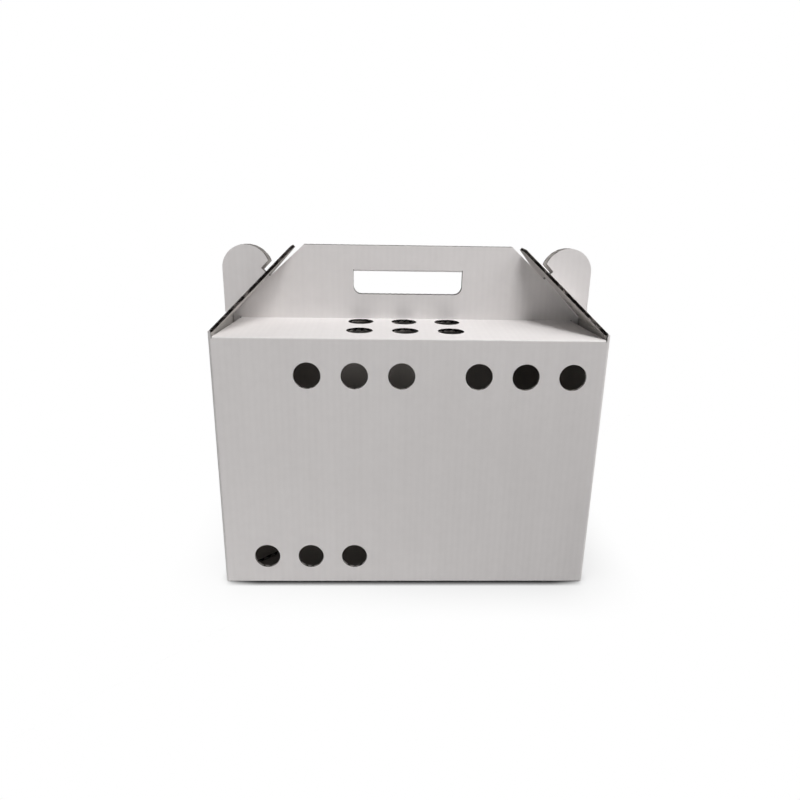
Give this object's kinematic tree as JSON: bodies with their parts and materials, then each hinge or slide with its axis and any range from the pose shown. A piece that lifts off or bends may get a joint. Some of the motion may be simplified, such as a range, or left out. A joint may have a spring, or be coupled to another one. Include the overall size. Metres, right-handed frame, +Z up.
{
  "type": "pet carrier",
  "caption": "Folding corrugated-board pet carrier with vented walls and roof, a double carry handle, and slotted end flaps that hook under the handle's ears.",
  "frame": {"origin": "on the floor under the middle of the body", "axes": "+X along the width, +Y from the front wall to the back wall, +Z up"},
  "size_m": [0.389, 0.197, 0.342],
  "materials": {
    "white_board": "matte",
    "inner_board": "matte"
  },
  "bodies": {
    "shell": {"front_wall": "white_board", "back_wall": "white_board", "left_wall": "white_board", "right_wall": "white_board", "glue_tab": "inner_board"},
    "front_roof": {"front_roof_panel": "white_board"},
    "back_roof": {"back_roof_panel": "white_board"},
    "front_handle": {"front_handle_panel": "white_board", "front_left_ear": "white_board", "front_right_ear": "white_board"},
    "back_handle": {"back_handle_panel": "white_board", "back_left_ear": "white_board", "back_right_ear": "white_board"},
    "left_flap": {"left_lock_flap": "white_board"},
    "right_flap": {"right_lock_flap": "white_board"},
    "front_grip": {"front_grip_flap": "white_board"},
    "back_grip": {"back_grip_flap": "white_board"},
    "bottom_front": {"bottom_front_flap": "white_board", "bottom_tongue": "white_board"},
    "bottom_left": {"bottom_left_flap": "white_board"},
    "bottom_right": {"bottom_right_flap": "white_board"},
    "bottom_back": {"bottom_back_flap": "white_board"}
  },
  "joints": [
    {"name": "front_roof_fold", "type": "hinge", "parent": "shell", "child": "front_roof", "pos_m": [0, -0.0969, 0.2634], "axis": [1, 0, 0], "range_deg": [0, 90]},
    {"name": "back_roof_fold", "type": "hinge", "parent": "shell", "child": "back_roof", "pos_m": [0, 0.0969, 0.2634], "axis": [-1, 0, 0], "range_deg": [0, 90]},
    {"name": "front_handle_fold", "type": "hinge", "parent": "front_roof", "child": "front_handle", "pos_m": [0, -0.00175, 0.2634], "axis": [-1, 0, 0], "range_deg": [0, 90], "deforming": ["front_left_ear", "front_right_ear"]},
    {"name": "back_handle_fold", "type": "hinge", "parent": "back_roof", "child": "back_handle", "pos_m": [0, 0.00175, 0.2634], "axis": [1, 0, 0], "range_deg": [0, 90], "deforming": ["back_left_ear", "back_right_ear"]},
    {"name": "left_flap_fold", "type": "hinge", "parent": "shell", "child": "left_flap", "pos_m": [-0.1884, 0, 0.2684], "axis": [0, -1, 0], "range_deg": [0, 132]},
    {"name": "right_flap_fold", "type": "hinge", "parent": "shell", "child": "right_flap", "pos_m": [0.1884, 0, 0.2684], "axis": [0, 1, 0], "range_deg": [0, 132]},
    {"name": "front_grip_fold", "type": "hinge", "parent": "front_handle", "child": "front_grip", "pos_m": [0, -0.00175, 0.317], "axis": [1, 0, 0], "range_deg": [-84, 6]},
    {"name": "back_grip_fold", "type": "hinge", "parent": "back_handle", "child": "back_grip", "pos_m": [0, 0.00175, 0.3205], "axis": [1, 0, 0], "range_deg": [-84, 6]},
    {"name": "bottom_front_fold", "type": "hinge", "parent": "shell", "child": "bottom_front", "pos_m": [0, -0.0969, 0.0016], "axis": [-1, 0, 0], "range_deg": [0, 90], "deforming": ["bottom_tongue"]},
    {"name": "bottom_left_fold", "type": "hinge", "parent": "shell", "child": "bottom_left", "pos_m": [-0.1884, 0, 0.0051], "axis": [0, 1, 0], "range_deg": [0, 85.5]},
    {"name": "bottom_right_fold", "type": "hinge", "parent": "shell", "child": "bottom_right", "pos_m": [0.1884, 0, 0.0051], "axis": [0, -1, 0], "range_deg": [0, 85.5]},
    {"name": "bottom_back_fold", "type": "hinge", "parent": "shell", "child": "bottom_back", "pos_m": [0, 0.0969, 0.0086], "axis": [1, 0, 0], "range_deg": [0, 81]}
  ],
  "couplings": [
    {"joint": "back_roof_fold", "follows": "front_roof_fold", "ratio": 1},
    {"joint": "front_handle_fold", "follows": "front_roof_fold", "ratio": 1},
    {"joint": "back_handle_fold", "follows": "front_roof_fold", "ratio": 1},
    {"joint": "left_flap_fold", "follows": "front_roof_fold", "ratio": 1.4667},
    {"joint": "right_flap_fold", "follows": "front_roof_fold", "ratio": 1.4667},
    {"joint": "back_grip_fold", "follows": "front_grip_fold", "ratio": 1},
    {"joint": "bottom_left_fold", "follows": "bottom_front_fold", "ratio": 0.95},
    {"joint": "bottom_right_fold", "follows": "bottom_front_fold", "ratio": 0.95},
    {"joint": "bottom_back_fold", "follows": "bottom_front_fold", "ratio": 0.9}
  ]
}
